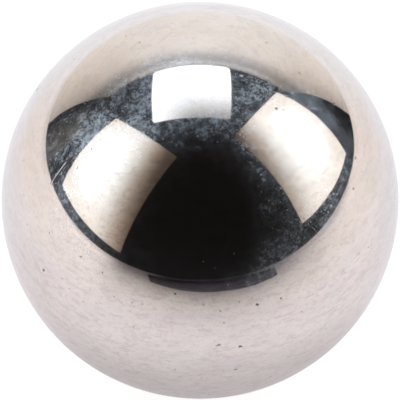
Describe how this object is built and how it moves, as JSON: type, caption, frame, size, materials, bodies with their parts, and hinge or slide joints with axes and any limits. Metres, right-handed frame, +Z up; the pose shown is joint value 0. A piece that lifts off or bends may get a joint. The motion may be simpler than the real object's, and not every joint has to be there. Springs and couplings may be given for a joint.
{
  "type": "steel ball",
  "caption": "Solid polished steel ball with a lapped mirror finish, for use as a loose rolling element, valve ball, detent or weight.",
  "frame": {"origin": "centre of the ball", "axes": "+Z up, away from the cup or pocket that holds the ball; every axis through the centre is the same, so X and Y are free"},
  "size_m": [0.02, 0.02, 0.02],
  "materials": {
    "polished_steel": "lapped mirror polish with fine handling scratches, a few small dark pits and light haze"
  },
  "bodies": {
    "root": {"ball": "polished_steel"}
  },
  "joints": []
}
